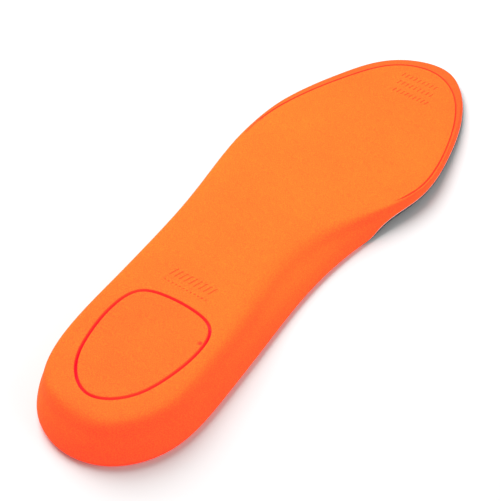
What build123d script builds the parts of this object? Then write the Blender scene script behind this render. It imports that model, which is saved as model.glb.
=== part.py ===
from build123d import *
import math
import os

# Cushioned insole for a right foot, lying upside down on the rim of its heel cup.
# Frame, in millimetres: +Z is up and out of the underside, +Y runs from heel to toe, +X is the arch side.
# Outlines are given as (across, from heel), where "from heel" is measured forward from the back of the heel.

os.makedirs("parts", exist_ok=True)

# ---- driving dimensions ----
length = 305.0            # back of the heel to the tip of the toe
heel_height = 22.5        # underside above the table at the back of the heel
toe_height = 5.2          # underside above the table at the tip of the toe
heel_thickness = 9.5      # cover, film and foam at the back of the heel
toe_thickness = 4.4       # cover, film and foam at the tip of the toe
rim_width = 4.0           # the cup's rim where it meets the table, cover included
cup_radius = 18.0         # how far the heel-cup wall curves in over the sole
arch_reach = 14.0         # how much further the wall curves in under the arch
wall_power = 0.45         # how the inner wall levels out into the sole
cover_thickness = 0.8     # textile
film_thickness = 0.2      # hot-melt film between textile and foam
cover_setback = 0.3       # the cover's and film's cut edge above the foam rim that bears on the table
insert_thickness = 4.5    # heel cushion
bond_thickness = 0.4      # adhesive under the heel cushion
groove_width = 1.5        # gap round the heel cushion
insert_edge_radius = 0.5

# Stations from the heel between which the raised rim fades out into the flat forefoot.
arch_fade = (165.0, 225.0)
outer_fade = (85.0, 185.0)
# Stations between which the wall under the arch gains its further reach.
arch_rise = (60.0, 120.0)

# Widest outline of the wall, from the back of the heel along the arch side, round the toe and back.
widest_outline = [
    (0.5, 0.0), (21.7, 6.1), (38.1, 26.4), (41.8, 62), (39.6, 101), (38.1, 140), (43.3, 180.6),
    (51.2, 216.3), (47.8, 249), (35.6, 282.6), (12.5, 304.5), (-10.9, 298.5), (-32, 270.4), (-45.1, 234.4),
    (-49.3, 200), (-45.7, 160), (-40.4, 120), (-39.3, 80), (-37.3, 45), (-22.7, 9.3),
]
# Edge of the flat underside, point for point beside the outline above.
sole_outline = [
    (3, 10.5), (17.5, 13.5), (31, 31), (33, 62), (28.5, 100.5), (22, 140), (35.4, 179.8),
    (50.4, 215.8), (46.8, 249), (34.7, 282), (12.5, 302.8), (-10.9, 296.8), (-30.8, 269.9), (-43.8, 234.7),
    (-46.9, 200.3), (-41.8, 160.3), (-37.5, 119.5), (-35.6, 80), (-32.9, 42.5), (-17.3, 13.7),
]
# Middle of the groove round the heel cushion.
cushion_outline = [
    (0, 21.2), (15, 30.2), (22.6, 48.8), (24.7, 67.2), (20, 83.5), (6.9, 87.8),
    (-6.9, 87.8), (-20, 83.5), (-24.7, 67.2), (-22.6, 48.8), (-15, 30.2),
]
# Wall profile: (share of the height, share of the way from the widest outline to the sole outline).
wall_profile = [
    (0.0, 0.12), (0.15, 0.0), (0.4, 0.18), (0.7, 0.62), (0.88, 0.88), (0.97, 1.14), (1.0, 1.45),
]

# ---- derived values ----
heel_y = -length / 2
slope = (toe_height - heel_height) / length
cover_and_film = cover_thickness + film_thickness
insert_pocket_depth = insert_thickness + bond_thickness
floor_heel = heel_height - heel_thickness
floor_toe = toe_height - toe_thickness
floor_slope = (floor_toe - floor_heel) / length
forefoot_margin = 5.0     # how far the foot space runs out past the forefoot's edge
foot_depths = [16.0, 11.0, 6.0, 2.5, 0.7, 0.0]
deepest_drop = 2.0        # wall profile's end, as a multiple of the floor's height


def floor_height(from_heel):
    """Height of the foot side's floor above the table."""
    return floor_heel + floor_slope * from_heel


def floor_plane(above):
    """Plane parallel to the foot side's floor, some way above it."""
    return Plane(origin=(0, 0, floor_height(length / 2) + above), x_dir=(1, 0, 0), z_dir=(0, -floor_slope, 1))


def underside_height(y):
    """Height of the underside above the table."""
    return heel_height + slope * (y - heel_y)


def tilted_plane(share):
    """Plane at a share of the height between the table and the underside."""
    return Plane(
        origin=(0, 0, share * underside_height(0)),
        x_dir=(1, 0, 0),
        z_dir=(0, -share * slope, 1),
    )


def on_plane(outline, share=1.0):
    """Outline points in the coordinates of a tilted plane, right above their plan positions."""
    stretch = math.hypot(1, share * slope)
    return [(x, (heel_y + s) * stretch) for x, s in outline]


def between(first, second, share):
    """Outline at a share of the way from one outline to another."""
    return [
        (a[0] + (b[0] - a[0]) * share, a[1] + (b[1] - a[1]) * share)
        for a, b in zip(first, second)
    ]


def grow(outline, by):
    """Outline moved outwards, each point along the normal of its two neighbours' chord."""
    moves = by if isinstance(by, list) else [by] * len(outline)   # one move for each point, or one for all
    moved = []
    for i, ((x, s), move) in enumerate(zip(outline, moves)):
        before = outline[i - 1]
        after = outline[(i + 1) % len(outline)]
        dx = after[0] - before[0]
        ds = after[1] - before[1]
        chord = math.hypot(dx, ds)
        moved.append((x + move * ds / chord, s - move * dx / chord))
    return moved


def smooth_step(low, high, value):
    """0 below low, 1 above high, and a smooth rise between them."""
    share = min(max((value - low) / (high - low), 0.0), 1.0)
    return share * share * (3 - 2 * share)


def travelled(outline):
    """Distance along a closed outline at each point and back at the first, for even splines."""
    steps = [math.dist(a, b) for a, b in zip(outline, outline[1:] + outline[:1])]
    return [sum(steps[:i]) for i in range(len(outline) + 1)]


outline_parameters = travelled(widest_outline)

# ---- outer block: the insole's walls and underside, solid down to the table ----
with BuildPart() as outer_block:
    for height_share, inset_share in wall_profile:
        with BuildSketch(tilted_plane(height_share)):
            with BuildLine():
                level = between(widest_outline, sole_outline, inset_share)
                add(
                    Edge.make_spline(
                        on_plane(level, height_share),
                        periodic=True,
                        parameters=outline_parameters,
                    )
                )
            make_face()
    loft()

# ---- foot side: a dished space whose floor is flat and whose wall follows the rim ----
def cup_share(x, from_heel):
    """1 where the wall stands up to the table, 0 round the flat forefoot."""
    fade = arch_fade if x > 0 else outer_fade
    return 1 - smooth_step(*fade, from_heel)


def wall_reach(x, from_heel):
    """How far the wall curves in over the sole before it is level."""
    arch = smooth_step(*arch_rise, from_heel) if x > 0 else 0.0
    return cup_radius + arch_reach * arch


def foot_outline(depth, raised):
    """Outline of the foot space at a depth from its floor, for a layer raised into the foam."""
    rim = between(widest_outline, sole_outline, wall_profile[0][1])
    moves = []
    for x, from_heel in rim:
        share = cup_share(x, from_heel)
        reach = wall_reach(x, from_heel)
        edge = (raised - rim_width) * share + (forefoot_margin + reach) * (1 - share)
        drop = min(depth / (floor_height(from_heel) + raised), deepest_drop)
        moves.append(edge - reach * (1 - drop**wall_power))
    return grow(rim, moves)


def foot_form(raised):
    """Solid that fills the space on the foot's side of a layer."""
    with BuildPart() as form:
        for depth in foot_depths:
            with BuildSketch(floor_plane(raised - depth)):
                with BuildLine():
                    stretch = math.hypot(1, floor_slope)
                    level = [(x, (heel_y + s) * stretch) for x, s in foot_outline(depth, raised)]
                    add(Edge.make_spline(level, periodic=True, parameters=outline_parameters))
                make_face()
        loft()
    return form.part


foot_space = foot_form(0.0)
foot_and_cover = foot_form(cover_thickness)
foot_cover_and_film = foot_form(cover_and_film)

# ---- textile cover on the foot side ----
with BuildPart() as top_cover:
    add(outer_block.part)
    add(foot_and_cover, mode=Mode.INTERSECT)
    add(foot_space, mode=Mode.SUBTRACT)
    split(bisect_by=Plane.XY.offset(cover_setback))
top_cover.part.label = "top_cover"
export_step(top_cover.part, "parts/top_cover.step")

# ---- hot-melt film between the cover and the foam ----
with BuildPart() as cover_film:
    add(outer_block.part)
    add(foot_cover_and_film, mode=Mode.INTERSECT)
    add(foot_and_cover, mode=Mode.SUBTRACT)
    split(bisect_by=Plane.XY.offset(cover_setback))
cover_film.part.label = "cover_film"
export_step(cover_film.part, "parts/cover_film.step")

# ---- moulded foam body ----
with BuildPart() as foam_base:
    add(outer_block.part)
    add(foot_cover_and_film, mode=Mode.SUBTRACT)
    # recess for the heel cushion
    with BuildSketch(tilted_plane(1.0)):
        with BuildLine():
            Spline(*on_plane(grow(cushion_outline, groove_width / 2)), periodic=True)
        make_face()
    extrude(amount=-insert_pocket_depth, mode=Mode.SUBTRACT)
foam_base.part.label = "foam_base"
export_step(foam_base.part, "parts/foam_base.step")

# ---- heel cushion and the adhesive under it ----
with BuildPart() as heel_insert:
    with BuildSketch(tilted_plane(1.0)):
        with BuildLine():
            Spline(*on_plane(grow(cushion_outline, -groove_width / 2)), periodic=True)
        make_face()
    extrude(amount=-insert_thickness)
    fillet(heel_insert.faces().sort_by(Axis.Z)[-1].edges(), radius=insert_edge_radius)
heel_insert.part.label = "heel_insert"
export_step(heel_insert.part, "parts/heel_insert.step")

with BuildPart() as insert_bond:
    with BuildSketch(tilted_plane(1.0)):
        with BuildLine():
            Spline(*on_plane(grow(cushion_outline, groove_width / 2)), periodic=True)
        make_face()
    extrude(amount=-insert_pocket_depth)
    with BuildSketch(tilted_plane(1.0)):
        with BuildLine():
            Spline(*on_plane(grow(cushion_outline, groove_width)), periodic=True)
        make_face()
    extrude(amount=-insert_thickness, mode=Mode.SUBTRACT)
insert_bond.part.label = "insert_bond"
export_step(insert_bond.part, "parts/insert_bond.step")
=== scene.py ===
import math

import bmesh
import bpy
import numpy as np
from mathutils import Matrix, Vector
from mathutils.geometry import delaunay_2d_cdt


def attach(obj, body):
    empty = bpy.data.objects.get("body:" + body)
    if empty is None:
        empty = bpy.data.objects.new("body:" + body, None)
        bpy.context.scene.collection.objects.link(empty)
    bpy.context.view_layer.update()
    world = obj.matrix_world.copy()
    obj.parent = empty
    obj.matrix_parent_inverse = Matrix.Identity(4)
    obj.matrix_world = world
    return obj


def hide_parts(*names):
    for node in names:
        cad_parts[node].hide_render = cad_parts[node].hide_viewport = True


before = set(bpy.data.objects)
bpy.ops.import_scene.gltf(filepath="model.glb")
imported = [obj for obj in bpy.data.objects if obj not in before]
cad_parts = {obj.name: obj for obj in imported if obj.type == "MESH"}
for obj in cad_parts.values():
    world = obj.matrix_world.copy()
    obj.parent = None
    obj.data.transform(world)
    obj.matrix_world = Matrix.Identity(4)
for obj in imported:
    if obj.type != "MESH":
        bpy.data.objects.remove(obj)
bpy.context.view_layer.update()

# Cushioned insole, upside down. Shapes are worked out in millimetres in the frame of the CAD and scaled
# once, when a mesh is made. Outlines are (across, from heel), with the arch on the +X side.
MM = 0.001
LENGTH = 305.0
HEEL_Y = -LENGTH / 2
HALF_WIDTH = 52.0
HEEL_HEIGHT = 22.5
TOE_HEIGHT = 5.2
HEEL_THICKNESS = 9.5
TOE_THICKNESS = 4.4
RIM_WIDTH = 4.0
CUP_RADIUS = 18.0
ARCH_REACH = 14.0
WALL_POWER = 0.45
COVER = 0.8
FILM = 0.2
SETBACK = 0.3
INSERT_DEPTH = 4.5
BOND = 0.4
GROOVE = 1.5
FOREFOOT_MARGIN = 5.0
HAIR = 0.02               # gap left between surfaces that mustn't touch

# Stretches, measured from the heel, over which one thing turns into another.
ARCH_FADE = (165.0, 225.0)
OUTER_FADE = (85.0, 185.0)
ARCH_RISE = (60.0, 120.0)
WAIST_START = (100.0, 150.0)
WAIST_END = (205.0, 235.0)
FOREFOOT_START = (205.0, 250.0)
HEEL_SHADE = (10.0, 120.0)
TOE_SHADE = (220.0, 290.0)
LINE_SHADE = (225.0, 285.0)
SIDE_BLEND = (-6.0, 6.0)  # this one across, from the outer half to the arch half

WIDEST = [
    (0.5, 0.0), (21.7, 6.1), (38.1, 26.4), (41.8, 62), (39.6, 101), (38.1, 140), (43.3, 180.6),
    (51.2, 216.3), (47.8, 249), (35.6, 282.6), (12.5, 304.5), (-10.9, 298.5), (-32, 270.4), (-45.1, 234.4),
    (-49.3, 200), (-45.7, 160), (-40.4, 120), (-39.3, 80), (-37.3, 45), (-22.7, 9.3),
]
SOLE = [
    (3, 10.5), (17.5, 13.5), (31, 31), (33, 62), (28.5, 100.5), (22, 140), (35.4, 179.8),
    (50.4, 215.8), (46.8, 249), (34.7, 282), (12.5, 302.8), (-10.9, 296.8), (-30.8, 269.9), (-43.8, 234.7),
    (-46.9, 200.3), (-41.8, 160.3), (-37.5, 119.5), (-35.6, 80), (-32.9, 42.5), (-17.3, 13.7),
]
CUSHION = [
    (0, 21.2), (15, 30.2), (22.6, 48.8), (24.7, 67.2), (20, 83.5), (6.9, 87.8),
    (-6.9, 87.8), (-20, 83.5), (-24.7, 67.2), (-22.6, 48.8), (-15, 30.2),
]
TRIM = [
    (0, 160), (38.5, 190), (43.1, 199.5), (45.8, 205), (47.6, 210), (49.3, 218), (49.5, 226), (48.9, 232),
    (44.0, 253.7), (35.2, 275.6), (23.7, 290.3), (9.2, 296.7), (-9, 291.8), (-25, 271.3), (-38.4, 241),
    (-45.0, 213.5), (-42, 186),
]
WALL_PROFILE = [
    (0.0, 0.12), (0.15, 0.0), (0.4, 0.18), (0.7, 0.62), (0.88, 0.88), (0.97, 1.14), (1.0, 1.45),
]

ROUND = 720               # samples round the insole
CUSHION_ROUND = 300       # samples round the heel cushion
WALL_RINGS = 34
FOOT_RINGS = 22
LAYER_RINGS = 26
TOWARD_UNDERSIDE = 1.6    # crowds the outer wall's rings toward the underside
TOWARD_FLOOR = 0.7        # crowds the foot side's rings toward its floor
WALL_DEPTHS = (1.5, 3.0)  # rings part of the way down the recess and the cushion
CUSHION_SHARES = (0.985, 0.97, 0.95, 0.93, 0.9, 0.87, 0.8, 0.7, 0.6, 0.5, 0.4, 0.3, 0.2, 0.1)
INSETS = ((0.7, 1), (1.5, 1), (2.5, 2), (3.8, 2), (5.5, 2), (7.8, 3), (10.5, 4))  # inset, every nth sample
HALVINGS = 30
SHARP_ANGLE = math.radians(40)
WELD = 2e-6               # metres
SLIVER = 1e-7             # metres
LIP = 0.2                 # rounding of the recess's edge
CUSHION_EDGE = 0.4        # rounding of the heel cushion's edge
TRIM_SAMPLES = 900
TRIM_WIDTH = 0.9
TRIM_TIP = 0.08           # half the line's width at its two ends
TRIM_FLOOR = 0.25         # share of the line's width that its bottom takes
TRIM_DEPTH = 0.9
TRIM_START = 201.0        # where the line starts on the arch side
TRIM_LAG = 11.0           # how much farther from the heel it ends on the outer side
TRIM_TAPER = 8.0
MARK_DEPTH = 0.28
MARK_WALL = 0.12          # how far a mark's walls slope in
PIT = (22.3, 73.3)        # small moulding pit at the cushion's edge
PIT_RADII = (0.6, 1.4)    # of its floor and of its mouth
PIT_DEPTH = 0.5
PIT_REACH = 0.3           # how far below the underside the pit is still pressed in
BEAD_EDGE = 3.2           # depth of the adhesive against the groove's walls
BEAD_MIDDLE = 3.5         # depth of the adhesive in the middle of the groove

# Amounts of painted shade, from 0 for plain foam to 1. The second of a pair is what the toe adds.
HEEL_DARK = 0.12
TOE_DARK = 0.08
MARGIN_DARK = (0.2, 0.12)
LINE_DARK = (0.4, 0.45)
MARGIN_FADE = (TRIM_START, TRIM_START + 12.0)
FACE_DEPTH = 1.3          # how far below the underside its rolled edge and the trim line reach
LINE_REACH = 0.3          # the trim line's bottom lies this close to its centre
LINE_DEPTH = 0.25         # and at least this deep


# ---------------------------------------------------------------- curves
def closed_spline(points, count, lengths_from=None):
    """Points on a closed cubic spline through the given points, and its unit outward normals."""
    p = np.array(points, float)
    q = np.array(lengths_from if lengths_from is not None else points, float)
    steps = np.linalg.norm(np.roll(q, -1, axis=0) - q, axis=1)
    n = len(p)
    matrix = np.zeros((n, n))
    right = np.zeros((n, 2))
    for i in range(n):
        before = steps[i - 1]
        after = steps[i]
        matrix[i, i - 1] += 1 / before
        matrix[i, i] += 2 / before + 2 / after
        matrix[i, (i + 1) % n] += 1 / after
        right[i] = 3 * ((p[i] - p[i - 1]) / before**2 + (p[(i + 1) % n] - p[i]) / after**2)
    slopes = np.linalg.solve(matrix, right)
    knots = np.concatenate([[0], np.cumsum(steps)])
    where = np.linspace(0, knots[-1], count, endpoint=False)
    span = np.clip(np.searchsorted(knots, where, side="right") - 1, 0, n - 1)
    h = steps[span][:, None]
    t = (where - knots[span])[:, None] / h
    a, b = p[span], p[(span + 1) % n]
    da, db = slopes[span] * h, slopes[(span + 1) % n] * h
    place = (
        a * (2 * t**3 - 3 * t**2 + 1) + da * (t**3 - 2 * t**2 + t)
        + b * (3 * t**2 - 2 * t**3) + db * (t**3 - t**2)
    )
    along = np.roll(place, -1, axis=0) - np.roll(place, 1, axis=0)
    along /= np.linalg.norm(along, axis=1)[:, None]
    return place, np.column_stack([along[:, 1], -along[:, 0]])


def smooth_step(low, high, value):
    """0 below low, 1 above high, and a smooth rise between them."""
    t = np.clip((value - low) / (high - low), 0, 1)
    return t * t * (3 - 2 * t)


def smooth_table(table, x):
    """Value of a smooth curve through (x, y) pairs, without waves between them."""
    xs, ys = (np.array(c, float) for c in zip(*table))
    rise = np.diff(ys) / np.diff(xs)
    before, after = rise[:-1], rise[1:]
    same = before * after > 0
    middle = np.where(same, 2 * before * after / np.where(same, before + after, 1), 0)
    slopes = np.concatenate([[2 * rise[0] - middle[0]], middle, [2 * rise[-1] - middle[-1]]])
    i = np.clip(np.searchsorted(xs, x, side="right") - 1, 0, len(xs) - 2)
    h = xs[i + 1] - xs[i]
    t = (x - xs[i]) / h
    return (
        ys[i] * (2 * t**3 - 3 * t**2 + 1) + slopes[i] * h * (t**3 - 2 * t**2 + t)
        + ys[i + 1] * (3 * t**2 - 2 * t**3) + slopes[i + 1] * h * (t**3 - t**2)
    )


# ---------------------------------------------------------------- the insole's surfaces
def underside(s):
    """Height of the underside, which faces up, above the table."""
    return HEEL_HEIGHT + (TOE_HEIGHT - HEEL_HEIGHT) * s / LENGTH


def floor_height(s):
    """Height of the foot side's floor above the table."""
    heel = HEEL_HEIGHT - HEEL_THICKNESS
    toe = TOE_HEIGHT - TOE_THICKNESS
    return heel + (toe - heel) * s / LENGTH


widest, widest_out = closed_spline(WIDEST, ROUND)
sole, _ = closed_spline(SOLE, ROUND, WIDEST)
rim = widest + (sole - widest) * WALL_PROFILE[0][1]


def edge_roll(plain, at_waist, at_forefoot):
    """A measure of how the underside's edge rolls down, round the insole: softest at the outer waist."""
    x, s = sole[:, 0], sole[:, 1]
    outer = np.where(x < 0, 1.0, 0.0)
    waist = smooth_step(*WAIST_START, s) * (1 - smooth_step(*WAIST_END, s)) * outer
    forefoot = smooth_step(*FOREFOOT_START, s)
    return plain + at_waist * waist + at_forefoot * forefoot


roll_drop = edge_roll(plain=0.15, at_waist=0.9, at_forefoot=0.45)
roll_width = edge_roll(plain=5.0, at_waist=8.0, at_forefoot=1.5)


def wall_point(share):
    """Outer wall round the insole at a share of the height: (x, s, z)."""
    at = widest + (sole - widest) * smooth_table(WALL_PROFILE, share)[:, None]
    return np.column_stack([at, share * (underside(at[:, 1]) - roll_drop)])


def cup_share():
    """1 where the cup's wall stands up to the table, 0 round the flat forefoot."""
    fade_in = 1 - smooth_step(*ARCH_FADE, rim[:, 1])
    fade_out = 1 - smooth_step(*OUTER_FADE, rim[:, 1])
    side = smooth_step(*SIDE_BLEND, rim[:, 0])
    return fade_out + (fade_in - fade_out) * side


def foot_point(height, raised):
    """Foot side's wall round the insole, at a height above the table, for a layer raised into the foam."""
    share = cup_share()
    side = smooth_step(*SIDE_BLEND, rim[:, 0])
    reach = CUP_RADIUS + ARCH_REACH * smooth_step(*ARCH_RISE, rim[:, 1]) * side
    edge = (raised - RIM_WIDTH) * share + (FOREFOOT_MARGIN + reach) * (1 - share)
    top = floor_height(rim[:, 1]) + raised
    drop = np.clip((top - height) / top, 0, 1)
    move = edge - reach * (1 - drop**WALL_POWER)
    at = rim + widest_out * move[:, None]
    return np.column_stack([at, np.maximum(floor_height(at[:, 1]) + raised - drop * top, 0)])


def outward(points):
    """Distance of each point from the rim along the outward direction there."""
    return np.sum((points[:, :2] - rim) * widest_out, axis=1)


def share_at(height):
    """Share of the wall's own height that a height above the table is, round the insole."""
    top = underside(sole[:, 1]) - roll_drop
    return np.clip(height / top, 0, 1)


def clipped(points, limit):
    """Foot-side ring kept inside the outer wall, where limit is the ring in which the two meet."""
    beyond = outward(points) > outward(limit) - HAIR
    return np.where(beyond[:, None], limit, points)


def meeting_height(raised):
    """Height round the insole where a layer's foot side runs out through the outer wall, or 0."""
    low = np.zeros(ROUND)
    high = floor_height(rim[:, 1]) + raised
    out_at_table = outward(foot_point(low, raised)) > outward(wall_point(share_at(low)))
    for _ in range(HALVINGS):
        middle = (low + high) / 2
        beyond = outward(foot_point(middle, raised)) > outward(wall_point(share_at(middle)))
        low = np.where(beyond, middle, low)
        high = np.where(beyond, high, middle)
    return np.where(out_at_table, low, 0.0)


# ---------------------------------------------------------------- mesh helpers
class Builder:
    """Collects rings and caps of one closed piece, in millimetres."""

    def __init__(self):
        self.points = []
        self.faces = []

    def ring(self, xyz):
        """Adds the points of a closed ring and returns their numbers."""
        first = len(self.points)
        self.points.extend(xyz)
        return range(first, first + len(xyz))

    def strip(self, rings):
        """Joins each ring to the next with four-sided faces."""
        for a, b in zip(rings, rings[1:]):
            n = len(a)
            for i in range(n):
                j = (i + 1) % n
                self.faces.append((a[i], a[j], b[j], b[i]))

    def add_faces(self, xyz, triangles):
        """Adds points and the triangles between them."""
        first = len(self.points)
        self.points.extend(xyz)
        self.faces.extend(tuple(first + i for i in t) for t in triangles)

    def make(self, name, material):
        """Welds everything into one object, in metres."""
        points = np.array(self.points, float)
        xyz = np.column_stack([points[:, 0], points[:, 1] + HEEL_Y, points[:, 2]]) * MM
        mesh = bpy.data.meshes.new(name)
        mesh.from_pydata([tuple(v) for v in xyz], [], self.faces)
        bm = bmesh.new()
        bm.from_mesh(mesh)
        bmesh.ops.remove_doubles(bm, verts=bm.verts, dist=WELD)
        bmesh.ops.dissolve_degenerate(bm, edges=bm.edges, dist=SLIVER)
        bmesh.ops.recalc_face_normals(bm, faces=bm.faces)
        bm.to_mesh(mesh)
        bm.free()
        mesh.shade_smooth()
        mesh.set_sharp_from_angle(angle=SHARP_ANGLE)
        obj = bpy.data.objects.new(name, mesh)
        bpy.context.scene.collection.objects.link(obj)
        mesh.materials.append(material)
        return obj


def distance_to_loop(points, loop):
    """Distance from each point to a closed polyline, and the nearest segment's index."""
    d = np.roll(loop, -1, axis=0) - loop
    rel = points[:, None, :] - loop[None]
    t = np.clip(np.sum(rel * d[None], axis=2) / np.sum(d * d, axis=1)[None], 0, 1)
    gap = np.linalg.norm(rel - t[..., None] * d[None], axis=2)
    nearest = np.argmin(gap, axis=1)
    return gap[np.arange(len(points)), nearest], nearest


def inside_loop(points, loop):
    """Whether each point lies inside a closed polyline."""
    x, y = points[:, 0][:, None], points[:, 1][:, None]
    ax, ay = loop[:, 0][None], loop[:, 1][None]
    bx, by = np.roll(loop[:, 0], -1)[None], np.roll(loop[:, 1], -1)[None]
    crosses = (ay > y) != (by > y)
    with np.errstate(divide="ignore", invalid="ignore"):
        cut = ax + (y - ay) * (bx - ax) / (by - ay)
    return np.sum(crosses & (x < cut), axis=1) % 2 == 1


class Sheet:
    """A face with grooves and marks: constrained points in plan, each with a depth below the surface."""

    def __init__(self, outer, holes=(), outer_depth=0.0):
        self.outer = outer
        self.holes = holes
        self.plan = []
        self.depth = []
        self.edges = []
        self.line(outer, np.zeros(len(outer)) + outer_depth, closed=True)
        for loop in holes:
            self.line(loop, np.zeros(len(loop)), closed=True)

    def line(self, points, depth, closed=False):
        """Adds a line that the face's triangles keep to."""
        first = len(self.plan)
        self.plan.extend(points)
        self.depth.extend(depth)
        last = len(self.plan) - 1
        self.edges.extend((i, i + 1) for i in range(first, last))
        if closed:
            self.edges.append((last, first))

    def fill(self, points, clear):
        """Adds loose points that keep clear of every line."""
        lines = np.array(self.plan)
        inside = inside_loop(points, self.outer)
        for hole in self.holes:
            inside &= ~inside_loop(points, hole)
        points = points[inside]
        keep = []
        for chunk in np.array_split(points, max(1, len(points) // 500)):
            gap = np.min(np.linalg.norm(chunk[:, None] - lines[None], axis=2), axis=1)
            keep.append(chunk[gap > clear])
        points = np.concatenate(keep)
        self.plan.extend(points)
        self.depth.extend(np.zeros(len(points)))

    def triangles(self):
        """Plan and depth of the face's points, and its triangles."""
        plan = [Vector((float(x), float(y))) for x, y in self.plan]
        points, _, faces, sources, _, _ = delaunay_2d_cdt(plan, self.edges, [], 0, 1e-5)
        where = np.array([(v.x, v.y) for v in points])
        depth = np.array([
            np.mean([self.depth[i] for i in origins]) if origins else 0.0 for origins in sources
        ])
        tris = np.array(faces)
        middle = where[tris].mean(axis=1)
        keep = inside_loop(middle, self.outer)
        for hole in self.holes:
            keep &= ~inside_loop(middle, hole)
        return where, depth, tris[keep]


def plan_grid(step):
    """Points all over the insole's plan."""
    return np.mgrid[-HALF_WIDTH:HALF_WIDTH:step, 0:LENGTH:step].reshape(2, -1).T


# ---------------------------------------------------------------- marks pressed into the underside
def bar(x, s, width, height, lean):
    """Closed outline of a leaning bar."""
    shift = lean * height / 2
    return np.array([
        (x - width / 2 - shift, s - height / 2), (x + width / 2 - shift, s - height / 2),
        (x + width / 2 + shift, s + height / 2), (x - width / 2 + shift, s + height / 2),
    ])


def press_bar(sheet, x, s, width, height, lean):
    """Presses a leaning bar with sloping walls into the face."""
    edge = bar(x, s, width, height, lean)
    floor = bar(x, s, width - 2 * MARK_WALL, height - 2 * MARK_WALL, lean)
    sheet.line(edge, np.zeros(len(edge)), closed=True)
    sheet.line(floor, np.full(len(floor), MARK_DEPTH), closed=True)


def press_marks(sheet):
    """A plain hatched band with a row of square dots, and three rows of even ticks near the toe."""
    for x in np.linspace(-14.5, 8.0, 9):
        press_bar(sheet, x, 102.0, width=0.9, height=5.0, lean=0.3)
    for x in np.linspace(-15.0, 8.5, 12):
        press_bar(sheet, x, 95.8, width=0.8, height=0.8, lean=0.0)
    shift = 1.2
    for row, s in enumerate((286.2, 279.9, 273.4)):
        for x in np.linspace(-3.0, 16.5, 9) + shift * row:
            press_bar(sheet, x, s, width=0.7, height=3.0, lean=0.2)


def press_trim_line(sheet):
    """A fine groove with sloping walls round the forefoot, tapering out at both ends."""
    loop, out = closed_spline(TRIM, TRIM_SAMPLES)
    start = np.argmax((loop[:, 1] > TRIM_START) & (loop[:, 0] > 0))
    order = np.roll(np.arange(len(loop)), -start)
    ends = (loop[order][:, 0] < 0) & (loop[order][:, 1] < TRIM_START + TRIM_LAG)
    order = order[: int(np.argmax(ends))][::2]
    centre, out = loop[order], out[order]
    travel = np.concatenate([[0], np.cumsum(np.linalg.norm(np.diff(centre, axis=0), axis=1))])
    taper = smooth_step(0, TRIM_TAPER, np.minimum(travel, travel[-1] - travel))
    half = (TRIM_TIP + (TRIM_WIDTH / 2 - TRIM_TIP) * taper)[:, None]
    sheet.line(centre + out * half, np.zeros(len(centre)))
    sheet.line(centre + out * half * TRIM_FLOOR, TRIM_DEPTH * taper)
    sheet.line(centre - out * half * TRIM_FLOOR, TRIM_DEPTH * taper)
    sheet.line(centre - out * half, np.zeros(len(centre)))


# ---------------------------------------------------------------- pieces
def underside_surface(outer_ring, hole):
    """Plan, height and triangles of the underside between its edge and the recess."""
    sheet = Sheet(outer_ring, (hole,))
    press_trim_line(sheet)
    press_marks(sheet)
    inwards = -widest_out
    for inset, step in INSETS:
        sheet.fill((outer_ring + inwards * inset)[::step], clear=0.45)
    sheet.fill(plan_grid(step=3.5), clear=2.0)
    where, depth, triangles = sheet.triangles()
    gap, nearest = distance_to_loop(where, outer_ring)
    roll = roll_drop[nearest] * np.clip(1 - gap / roll_width[nearest], 0, 1) ** 2
    return where, underside(where[:, 1]) - roll - depth, triangles


def foot_rings(raised, meet, limit, count):
    """Rings down the foot side's wall, from where it meets the outer wall to its floor."""
    top = floor_height(rim[:, 1]) + raised
    return [
        clipped(foot_point(meet + (top - meet) * t, raised), limit)
        for t in np.linspace(0, 1, count) ** TOWARD_FLOOR
    ]


def foam_base(material):
    """The moulded foam: outer wall, foot side, underside and the recess for the heel cushion."""
    raised = COVER + FILM
    build = Builder()
    meet = meeting_height(raised)
    start = share_at(meet)
    shares = 1 - (1 - np.linspace(0, 1, WALL_RINGS)) ** TOWARD_UNDERSIDE
    wall = [wall_point(start + (1 - start) * t) for t in shares]
    outer_rings = [build.ring(w) for w in wall]
    build.strip(outer_rings)
    inner = foot_rings(raised, meet, wall[0], FOOT_RINGS)
    inner_rings = [build.ring(r) for r in inner]
    build.strip([outer_rings[0], inner_rings[0]])
    build.strip(inner_rings)
    cap_floor(build, inner[-1], raised)
    recess, recess_out = closed_spline(CUSHION, CUSHION_ROUND)
    recess = recess + recess_out * GROOVE / 2
    lip = recess + recess_out * LIP
    where, height, triangles = underside_surface(wall[-1][:, :2], lip)
    height[:ROUND] = wall[-1][:, 2]
    height[ROUND:ROUND + CUSHION_ROUND] = underside(lip[:, 1])
    build.add_faces(np.column_stack([where, height]), triangles)
    rings = []
    for angle in np.linspace(0, math.pi / 2, 5):
        at = recess + recess_out * LIP * (1 - math.sin(angle))
        rings.append(np.column_stack([at, underside(at[:, 1]) - LIP * (1 - math.cos(angle))]))
    for depth in (*WALL_DEPTHS, INSERT_DEPTH + BOND):
        rings.append(np.column_stack([recess, underside(recess[:, 1]) - depth]))
    build.strip([build.ring(r) for r in rings])
    build.faces.append(tuple(build.ring(rings[-1])))
    return build.make("foam_body", material)


def cap_floor(build, ring, raised):
    """Closes a layer's flat floor inside a ring."""
    sheet = Sheet(ring[:, :2], outer_depth=floor_height(ring[:, 1]) + raised - ring[:, 2])
    sheet.fill(plan_grid(step=5.0), clear=1.5)
    where, depth, triangles = sheet.triangles()
    build.add_faces(np.column_stack([where, floor_height(where[:, 1]) + raised - depth]), triangles)


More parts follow.
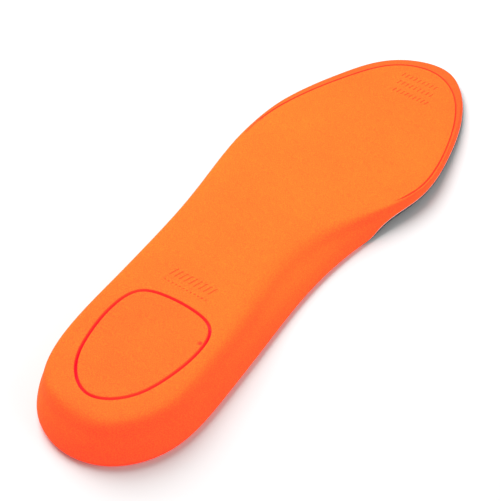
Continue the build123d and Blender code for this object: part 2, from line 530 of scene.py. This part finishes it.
def layer(name, low, high, material):
    """A thin layer that follows the foot side, from one raised surface to another."""
    build = Builder()
    sides = []
    for raised in (low, high):
        meet = np.maximum(meeting_height(raised), SETBACK)
        rings = foot_rings(raised, meet, wall_point(share_at(meet)), LAYER_RINGS)
        sides.append([build.ring(r) for r in rings])
        build.strip(sides[-1])
        cap_floor(build, rings[-1], raised)
    build.strip([sides[0][0], sides[1][0]])
    return build.make(name, material)


def heel_cushion(material):
    """The cushion let into the underside, with rounded edges and one small pit."""
    build = Builder()
    edge, out = closed_spline(CUSHION, CUSHION_ROUND)
    edge = edge - out * GROOVE / 2
    middle = edge.mean(axis=0)
    radius = CUSHION_EDGE
    rings = []
    for depth in (INSERT_DEPTH, *reversed(WALL_DEPTHS), radius):
        rings.append(np.column_stack([edge, underside(edge[:, 1]) - depth]))
    for angle in np.linspace(0.25, 1, 4) * math.pi / 2:
        at = edge - out * radius * (1 - math.cos(angle))
        rings.append(np.column_stack([at, underside(at[:, 1]) - radius * (1 - math.sin(angle))]))
    for share in CUSHION_SHARES:
        at = middle + (edge - out * radius - middle) * share
        rings.append(np.column_stack([at, underside(at[:, 1])]))
    made = [build.ring(r) for r in rings]
    build.strip(made)
    build.faces.append(tuple(made[-1]))
    build.faces.append(tuple(reversed(made[0])))
    cushion = build.make("heel_cushion", material)
    place = plan_of(cushion)
    near = np.hypot(place[:, 0] - PIT[0], place[:, 1] - PIT[1])
    pit = (1 - smooth_step(*PIT_RADII, near)) * (place[:, 2] > underside(place[:, 1]) - PIT_REACH)
    lower(cushion, PIT_DEPTH * pit)
    # The pit's darker colour is painted shade.
    shade(cushion, pit)
    return cushion


def plan_of(obj):
    """Vertices of a piece in millimetres, measured from the heel."""
    place = np.empty(3 * len(obj.data.vertices))
    obj.data.vertices.foreach_get("co", place)
    return place.reshape(-1, 3) / MM - (0, HEEL_Y, 0)


def lower(obj, by):
    """Moves each vertex down."""
    place = plan_of(obj) - np.outer(by, (0, 0, 1))
    obj.data.vertices.foreach_set("co", ((place + (0, HEEL_Y, 0)) * MM).ravel())


def shade(obj, value):
    """Stores painted shade at each vertex, as how dark the foam is: 0 for plain foam, 1 for a pit or the
    bottom of a line.
    """
    painted_shade = obj.data.attributes.new("painted_shade", "FLOAT", "POINT")
    painted_shade.data.foreach_set("value", value)


def shade_foam(foam):
    """Paints shade into the foam: a little at its ends, more outside the trim line, and most in the line
    itself.
    """
    place = plan_of(foam)
    from_heel = place[:, 1]
    heel = HEEL_DARK * (1 - smooth_step(*HEEL_SHADE, from_heel))
    value = heel + TOE_DARK * smooth_step(*TOE_SHADE, from_heel)
    top = np.flatnonzero((place[:, 2] > underside(from_heel) - FACE_DEPTH) & (from_heel > TRIM_START))
    plan = place[top]
    loop, _ = closed_spline(TRIM, TRIM_SAMPLES // 2)
    gap, _ = distance_to_loop(plan[:, :2], loop)
    toe = np.clip(smooth_step(*LINE_SHADE, plan[:, 1]) + (plan[:, 0] < 0), 0, 1)
    outside = ~inside_loop(plan[:, :2], loop) * smooth_step(*MARGIN_FADE, plan[:, 1])
    in_line = (gap < LINE_REACH) & (plan[:, 2] < underside(plan[:, 1]) - LINE_DEPTH)
    margin = value[top] + outside * (MARGIN_DARK[0] + MARGIN_DARK[1] * toe)
    value[top] = np.where(in_line, LINE_DARK[0] + LINE_DARK[1] * toe, margin)
    shade(foam, value)


def bond_bead(material):
    """Adhesive under the cushion, squeezed up a little in the groove round it, where its deeper red also
    stands in for the groove's shade.
    """
    build = Builder()
    edge, out = closed_spline(CUSHION, CUSHION_ROUND)
    outer = edge + out * (GROOVE / 2 - HAIR / 2)
    inner = edge - out * (GROOVE / 2 - HAIR / 2)
    under = INSERT_DEPTH + BOND - HAIR
    rings = [
        np.column_stack([outer, underside(outer[:, 1]) - under]),
        np.column_stack([outer, underside(outer[:, 1]) - BEAD_EDGE]),
        np.column_stack([edge, underside(edge[:, 1]) - BEAD_MIDDLE]),
        np.column_stack([inner, underside(inner[:, 1]) - BEAD_EDGE]),
        np.column_stack([inner, underside(inner[:, 1]) - INSERT_DEPTH - HAIR]),
    ]
    made = [build.ring(r) for r in rings]
    build.strip(made)
    build.faces.append(tuple(made[0]))
    build.faces.append(tuple(reversed(made[-1])))
    return build.make("adhesive_bead", material)


# ---------------------------------------------------------------- materials
class Nodes:
    """Short names for building a node material."""

    def __init__(self, name):
        self.material = bpy.data.materials.new(name)
        self.material.use_nodes = True
        self.tree = self.material.node_tree
        self.shader = self.tree.nodes["Principled BSDF"]
        self.place = self.tree.nodes.new("ShaderNodeTexCoord").outputs["Object"]

    def new(self, kind, **values):
        """A new node with the given properties."""
        node = self.tree.nodes.new(kind)
        for key, value in values.items():
            setattr(node, key, value)
        return node

    def link(self, a, b):
        self.tree.links.new(a, b)

    def noise(self, scale, detail=3.0, roughness=0.5):
        node = self.new("ShaderNodeTexNoise")
        node.inputs["Scale"].default_value = scale
        node.inputs["Detail"].default_value = detail
        node.inputs["Roughness"].default_value = roughness
        self.link(self.place, node.inputs["Vector"])
        return node.outputs["Fac"]

    def ramp(self, value, stops):
        """Colour that runs through (position, colour) stops."""
        node = self.new("ShaderNodeValToRGB")
        elements = node.color_ramp.elements
        while len(elements) < len(stops):
            elements.new(0.5)
        for element, (at, colour) in zip(elements, stops):
            element.position = at
            element.color = (*colour, 1.0)
        self.link(value, node.inputs["Fac"])
        return node.outputs["Color"]

    def spread(self, value, low, high):
        """Stretches a noise's usual range to a range of values."""
        node = self.new("ShaderNodeMapRange")
        node.inputs["From Min"].default_value = 0.3
        node.inputs["From Max"].default_value = 0.7
        node.inputs["To Min"].default_value = low
        node.inputs["To Max"].default_value = high
        self.link(value, node.inputs["Value"])
        return node.outputs["Result"]

    def bump(self, height, distance, over=None):
        """Bumped normal, over another one if it is given."""
        node = self.new("ShaderNodeBump")
        node.inputs["Distance"].default_value = distance
        node.inputs["Strength"].default_value = 1.0
        self.link(height, node.inputs["Height"])
        if over is not None:
            self.link(over, node.inputs["Normal"])
        return node.outputs["Normal"]


def foam_material(name, pale, deep, grain):
    """Bright moulded foam: a fine-pored surface with faint cloudy colour, and a painted red glow that
    keeps it red in its shade.
    """
    n = Nodes(name)
    cloud = n.noise(38.0, 4.0, 0.55)
    speckle = n.new("ShaderNodeMath", operation="MULTIPLY_ADD")
    n.link(n.noise(2200.0, 1.0), speckle.inputs[0])
    speckle.inputs[1].default_value = 0.85
    faint = n.new("ShaderNodeMath", operation="MULTIPLY")
    n.link(cloud, faint.inputs[0])
    faint.inputs[1].default_value = 0.15
    n.link(faint.outputs["Value"], speckle.inputs[2])
    # Painted shade: the colour is mixed toward a deep red by a shade value stored at each vertex.
    painted_shade = n.new("ShaderNodeAttribute", attribute_name="painted_shade")
    mix = n.new("ShaderNodeMix", data_type="RGBA")
    n.link(painted_shade.outputs["Fac"], mix.inputs["Factor"])
    n.link(n.ramp(speckle.outputs["Value"], [(0.4, deep), (0.6, pale)]), mix.inputs["A"])
    mix.inputs["B"].default_value = (0.8, 0.045, 0.005, 1.0)
    n.link(mix.outputs["Result"], n.shader.inputs["Base Color"])
    n.link(n.spread(n.noise(grain * 0.5), 0.62, 0.8), n.shader.inputs["Roughness"])
    soft = n.bump(n.noise(220.0, 2.0), 0.00006)
    n.link(n.bump(n.noise(grain, 4.0, 0.6), 0.00005, over=soft), n.shader.inputs["Normal"])
    # Painted red glow: an even emission, though the foam is no lamp, that keeps it red in its shade.
    n.shader.inputs["Emission Color"].default_value = (1.0, 0.012, 0.042, 1.0)
    n.shader.inputs["Emission Strength"].default_value = 0.6
    n.shader.inputs["Specular IOR Level"].default_value = 0.03
    return n.material


def bond_material():
    """Adhesive: a deeper red that also paints in the groove's shade, slightly shiny, with a painted red
    glow.
    """
    n = Nodes("bond")
    stops = [(0.3, (0.8, 0.02, 0.02)), (0.7, (0.9, 0.035, 0.03))]
    n.link(n.ramp(n.noise(400.0), stops), n.shader.inputs["Base Color"])
    n.link(n.spread(n.noise(900.0), 0.3, 0.5), n.shader.inputs["Roughness"])
    n.link(n.bump(n.noise(700.0), 0.00008), n.shader.inputs["Normal"])
    n.shader.inputs["Specular IOR Level"].default_value = 0.05
    # Painted red glow, as on the foam.
    n.shader.inputs["Emission Color"].default_value = (1.0, 0.0, 0.03, 1.0)
    n.shader.inputs["Emission Strength"].default_value = 0.6
    return n.material


def film_material():
    """Off-white hot-melt film."""
    n = Nodes("film")
    stops = [(0.3, (0.75, 0.72, 0.66)), (0.7, (0.85, 0.83, 0.78))]
    n.link(n.ramp(n.noise(500.0), stops), n.shader.inputs["Base Color"])
    n.link(n.spread(n.noise(1200.0), 0.35, 0.5), n.shader.inputs["Roughness"])
    n.link(n.bump(n.noise(800.0), 0.00003), n.shader.inputs["Normal"])
    return n.material


def textile_material():
    """Charcoal knit: rows of small loops with a soft pile."""
    n = Nodes("textile")
    wales = n.new("ShaderNodeTexWave", wave_type="BANDS", bands_direction="X")
    courses = n.new("ShaderNodeTexWave", wave_type="BANDS", bands_direction="Y")
    for wave, scale in ((wales, 190.0), (courses, 260.0)):
        wave.inputs["Scale"].default_value = scale
        wave.inputs["Distortion"].default_value = 1.2
        wave.inputs["Detail Scale"].default_value = 3.0
        n.link(n.place, wave.inputs["Vector"])
    loops = n.new("ShaderNodeMath", operation="MULTIPLY")
    n.link(wales.outputs["Fac"], loops.inputs[0])
    n.link(courses.outputs["Fac"], loops.inputs[1])
    stops = [(0.0, (0.018, 0.019, 0.022)), (0.45, (0.06, 0.062, 0.068)), (1.0, (0.13, 0.132, 0.14))]
    n.link(n.ramp(loops.outputs["Value"], stops), n.shader.inputs["Base Color"])
    n.link(n.spread(n.noise(300.0), 0.8, 0.95), n.shader.inputs["Roughness"])
    fuzz = n.bump(n.noise(2500.0, 2.0), 0.00005)
    n.link(n.bump(loops.outputs["Value"], 0.00018, over=fuzz), n.shader.inputs["Normal"])
    n.shader.inputs["Sheen Weight"].default_value = 0.25
    n.shader.inputs["Sheen Roughness"].default_value = 0.5
    return n.material


def floor_material():
    """Plain pale tabletop, without shine."""
    n = Nodes("floor")
    stops = [(0.3, (0.66, 0.66, 0.66)), (0.7, (0.67, 0.67, 0.67))]
    n.link(n.ramp(n.noise(3.0), stops), n.shader.inputs["Base Color"])
    n.shader.inputs["Roughness"].default_value = 0.9
    n.shader.inputs["Specular IOR Level"].default_value = 0.0
    return n.material


# ---------------------------------------------------------------- stage, light and camera
def make_stage():
    """The tabletop under the insole."""
    mesh = bpy.data.meshes.new("floor")
    size = 6.0
    corners = [(-size, -size, 0), (size, -size, 0), (size, size, 0), (-size, size, 0)]
    mesh.from_pydata(corners, [], [(0, 1, 2, 3)])
    floor = bpy.data.objects.new("floor", mesh)
    bpy.context.scene.collection.objects.link(floor)
    mesh.materials.append(floor_material())


def softbox(name, place, size, power):
    """A round area light that points at the origin."""
    data = bpy.data.lights.new(name, "AREA")
    data.shape = "DISK"
    data.size = size
    data.energy = power
    lamp = bpy.data.objects.new(name, data)
    bpy.context.scene.collection.objects.link(lamp)
    lamp.location = place
    lamp.rotation_euler = (-lamp.location).to_track_quat("-Z", "Y").to_euler()


def make_light():
    """White surroundings, a large softbox and a weak fill light."""
    world = bpy.data.worlds.new("studio")
    bpy.context.scene.world = world
    world.use_nodes = True
    world.node_tree.nodes["Background"].inputs["Color"].default_value = (1.0, 1.0, 1.0, 1.0)
    world.node_tree.nodes["Background"].inputs["Strength"].default_value = 0.4
    softbox("softbox", (-0.85, 0.38, 1.15), size=1.3, power=38.0)
    softbox("fill", (1.1, 0.2, 0.7), size=0.9, power=5.0)


def make_camera():
    """The photograph's view of the insole."""
    azimuth, elevation, roll = (math.radians(a) for a in (38.13, 48.28, -3.38))
    distance = 0.8233
    target = Vector((0.00396, -0.01505, 0.010))
    back = Vector((
        math.sin(azimuth) * math.cos(elevation),
        -math.cos(azimuth) * math.cos(elevation),
        math.sin(elevation),
    ))
    right = Vector((math.cos(azimuth), math.sin(azimuth), 0))
    up = back.cross(right)
    right_rolled = right * math.cos(roll) + up * math.sin(roll)
    up_rolled = up * math.cos(roll) - right * math.sin(roll)
    data = bpy.data.cameras.new("camera")
    data.sensor_width = 36.0
    data.lens = 123.3
    data.clip_start = 0.01
    camera = bpy.data.objects.new("camera", data)
    bpy.context.scene.collection.objects.link(camera)
    matrix = Matrix((right_rolled, up_rolled, back)).transposed().to_4x4()
    matrix.translation = target + back * distance
    camera.matrix_world = matrix
    bpy.context.scene.camera = camera


def declare(piece, node):
    """Attaches a piece to the root body and hides the CAD node that it replaces."""
    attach(piece, "root")
    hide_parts(node)


bpy.context.scene.view_settings.view_transform = "Standard"
make_camera()
make_stage()
make_light()

foam = foam_base(foam_material("foam", (0.95, 0.16, 0.004), (0.93, 0.105, 0.003), 2600.0))
shade_foam(foam)
declare(foam, "foam_base")

cushion = heel_cushion(foam_material("cushion", (0.95, 0.144, 0.004), (0.93, 0.091, 0.003), 3000.0))
declare(cushion, "heel_insert")

bead = bond_bead(bond_material())
declare(bead, "insert_bond")

film = layer("film_layer", COVER, COVER + FILM - HAIR, film_material())
declare(film, "cover_film")

cover = layer("textile_cover", 0.0, COVER, textile_material())
declare(cover, "top_cover")
